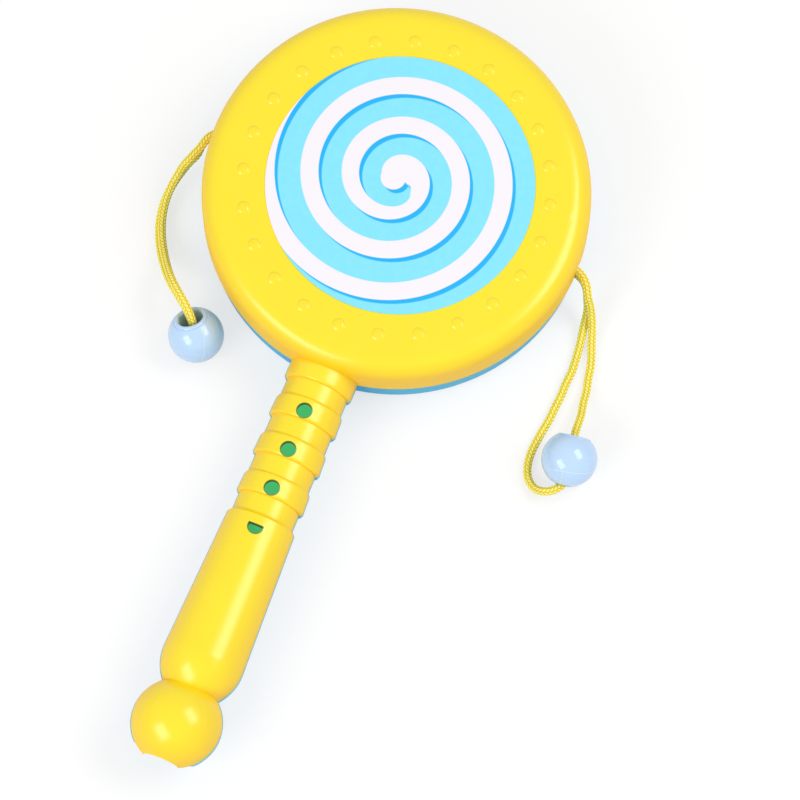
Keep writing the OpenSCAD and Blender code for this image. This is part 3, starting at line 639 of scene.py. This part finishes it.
def printed_film():
    """Polypropylene label film, printed in white and two blues and varnished: smooth, less glossy than the shell,
    with the faint mottle of ink. Edges of the white print are 0.12 mm soft, and of its shadow 0.2 mm."""
    material, tree = new_finish("printed_polypropylene_film")
    place = add(tree, "ShaderNodeTexCoord").outputs["Object"]
    flat = add(tree, "ShaderNodeVectorMath", {0: place, 1: (1000.0, 1000.0, 0.0)}, operation="MULTIPLY").outputs[0]
    moved = add(tree, "ShaderNodeVectorMath", {0: flat, 1: (*SHADOW_SHIFT, 0.0)}, operation="SUBTRACT").outputs[0]
    white = add(tree, "ShaderNodeMapRange", {
        "Value": spiral_print(tree, flat), "From Min": -0.06, "From Max": 0.06}).outputs["Result"]
    shadow = add(tree, "ShaderNodeMapRange", {
        "Value": spiral_print(tree, moved), "From Min": -0.1, "From Max": 0.1}).outputs["Result"]
    mottle = add(tree, "ShaderNodeTexNoise", {"Vector": place, "Scale": 1 / (1.2 * MM), "Detail": 3.0}).outputs["Fac"]
    ground = add(tree, "ShaderNodeMix", {
        "Factor": mottle, 6: linear("#80E3FE"), 7: linear("#8CE8FE")}, data_type="RGBA")
    shaded = add(tree, "ShaderNodeMix", {
        "Factor": shadow, 6: ground.outputs[2], 7: linear("#0AB4F5")}, data_type="RGBA")
    colour = add(tree, "ShaderNodeMix", {
        "Factor": white, 6: shaded.outputs[2], 7: linear("#F7F1F8")}, data_type="RGBA")
    gloss = add(tree, "ShaderNodeMapRange", {"Value": mottle, "To Min": 0.36, "To Max": 0.44})
    bump = add(tree, "ShaderNodeBump", {"Height": mottle, "Strength": 0.6, "Distance": 0.003 * MM})
    shader = add(tree, "ShaderNodeBsdfPrincipled", {
        "Base Color": colour.outputs[2], "Roughness": gloss.outputs["Result"], "IOR": 1.49,
        "Normal": bump.outputs["Normal"]})
    add(tree, "ShaderNodeOutputMaterial", {"Surface": shader.outputs["BSDF"]})
    return material


# The third colour of each is the painted shade of its steep sides.
yellow = moulded_abs("yellow_moulded_abs", "#FFE31C", "#FFE724", "#FFCC00", 0.23, bumps=True)
blue = moulded_abs("blue_moulded_abs", "#72C8EC", "#7CCEF0", "#45B5E0", 0.23)
label_finish, cord_finish = printed_film(), braided_polyester()
for node_name, finish in (
    ("front_shell", yellow), ("whistle_block", yellow), ("back_shell", blue), ("face_label", label_finish),
    ("left_bead", bead_polystyrene("left_bead_moulded_polystyrene", LEFT_BEAD_AT, LEFT_BEAD_LINES)),
    ("right_bead", bead_polystyrene("right_bead_moulded_polystyrene", RIGHT_BEAD_AT, RIGHT_BEAD_LINES)),
):
    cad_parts[node_name].material_slots[0].material = finish
for piece in (left_rim_knot, right_rim_knot, left_end_knot, left_upper, left_lower, right_loop):
    piece.data.materials.append(cord_finish)


# Stage: a white floor that keeps the shadow, and a white surround. The floor throws back its paper white and shows
# less of it to the camera, with light of its own that makes up the rest of white.
PAPER_WHITE, PAPER_SEEN, SURROUND_FILL = 0.78, 0.34, 0.56
FLOOR_HALF, FLOOR_DROP = 4.0, 0.02 * MM

# Lamps: two softboxes of this size, in metres, and power, this far from the object and this far off the view axis.
LAMP_LONG, LAMP_SHORT, LAMP_WATTS = 0.6, 0.39, 3.1
LAMP_DISTANCE, LAMP_TILT = 0.9, math.radians(43)


def seen_rays(tree):
    """The light path, and 1 for a ray of the camera, of a reflection or through glass, and 0 for any other."""
    path = add(tree, "ShaderNodeLightPath")
    seen = add(tree, "ShaderNodeMath", {
        0: path.outputs["Is Camera Ray"], 1: path.outputs["Is Glossy Ray"]}, operation="MAXIMUM").outputs[0]
    seen = add(tree, "ShaderNodeMath", {
        0: seen, 1: path.outputs["Is Transmission Ray"]}, operation="MAXIMUM").outputs[0]
    return path, seen


def white_floor():
    """Matt paper. Its colour is the seen share of white for the camera and the paper's own for all other rays. The
    light that it adds, for the camera, reflections and glass only, is 1 less that colour, so that it is white where
    nothing shades it."""
    material, tree = new_finish("matt_paper")
    path, seen = seen_rays(tree)
    share = add(tree, "ShaderNodeMapRange", {
        "Value": path.outputs["Is Camera Ray"], "To Min": PAPER_WHITE, "To Max": PAPER_SEEN}).outputs["Result"]
    diffuse = add(tree, "ShaderNodeBsdfDiffuse", {
        "Color": add(tree, "ShaderNodeCombineXYZ", {"X": share, "Y": share, "Z": share}).outputs[0]})
    rest = add(tree, "ShaderNodeMath", {0: 1.0, 1: share}, operation="SUBTRACT").outputs[0]
    lift = add(tree, "ShaderNodeMath", {0: seen, 1: rest}, operation="MULTIPLY").outputs[0]
    glow = add(tree, "ShaderNodeEmission", {"Color": (1, 1, 1, 1), "Strength": lift})
    both = add(tree, "ShaderNodeAddShader", {0: diffuse.outputs[0], 1: glow.outputs[0]})
    add(tree, "ShaderNodeOutputMaterial", {"Surface": both.outputs[0]})
    return material


floor_mesh = bpy.data.meshes.new("floor")
floor_mesh.from_pydata([
    (x * FLOOR_HALF, y * FLOOR_HALF, -FLOOR_DROP) for x, y in ((-1, -1), (1, -1), (1, 1), (-1, 1))
], [], [(0, 1, 2, 3)])
floor_mesh.materials.append(white_floor())
floor = bpy.data.objects.new("floor", floor_mesh)
bpy.context.collection.objects.link(floor)

world = bpy.data.worlds.new("white_surround")
bpy.context.scene.world = world
world.use_nodes = True
world.node_tree.nodes.clear()
strength = add(world.node_tree, "ShaderNodeMapRange", {
    "Value": seen_rays(world.node_tree)[1], "To Min": SURROUND_FILL, "To Max": 1.0})
surround = add(world.node_tree, "ShaderNodeBackground", {
    "Color": (1, 1, 1, 1), "Strength": strength.outputs["Result"]})
add(world.node_tree, "ShaderNodeOutputWorld", {"Surface": surround.outputs[0]})


def softbox(name, across, down):
    """An oblong lamp aimed at the object, the tilt off the view axis towards a direction in the image, with its long
    side square to that direction."""
    towards = unit(across * RIGHT + down * DOWN)
    back = math.cos(LAMP_TILT) * -FORWARD + math.sin(LAMP_TILT) * towards
    long_axis = np.cross(FORWARD, towards)
    data = bpy.data.lights.new(name, "AREA")
    data.shape, data.size, data.size_y, data.energy = "RECTANGLE", LAMP_LONG, LAMP_SHORT, LAMP_WATTS
    lamp = bpy.data.objects.new(name, data)
    bpy.context.collection.objects.link(lamp)
    lamp.matrix_world = placed(long_axis, np.cross(back, long_axis), back, AIM + LAMP_DISTANCE * back)


softbox("softbox_lower_left", -0.86, 0.51)
softbox("softbox_upper_right", 0.89, -0.45)

bpy.context.scene.view_settings.view_transform = "Standard"
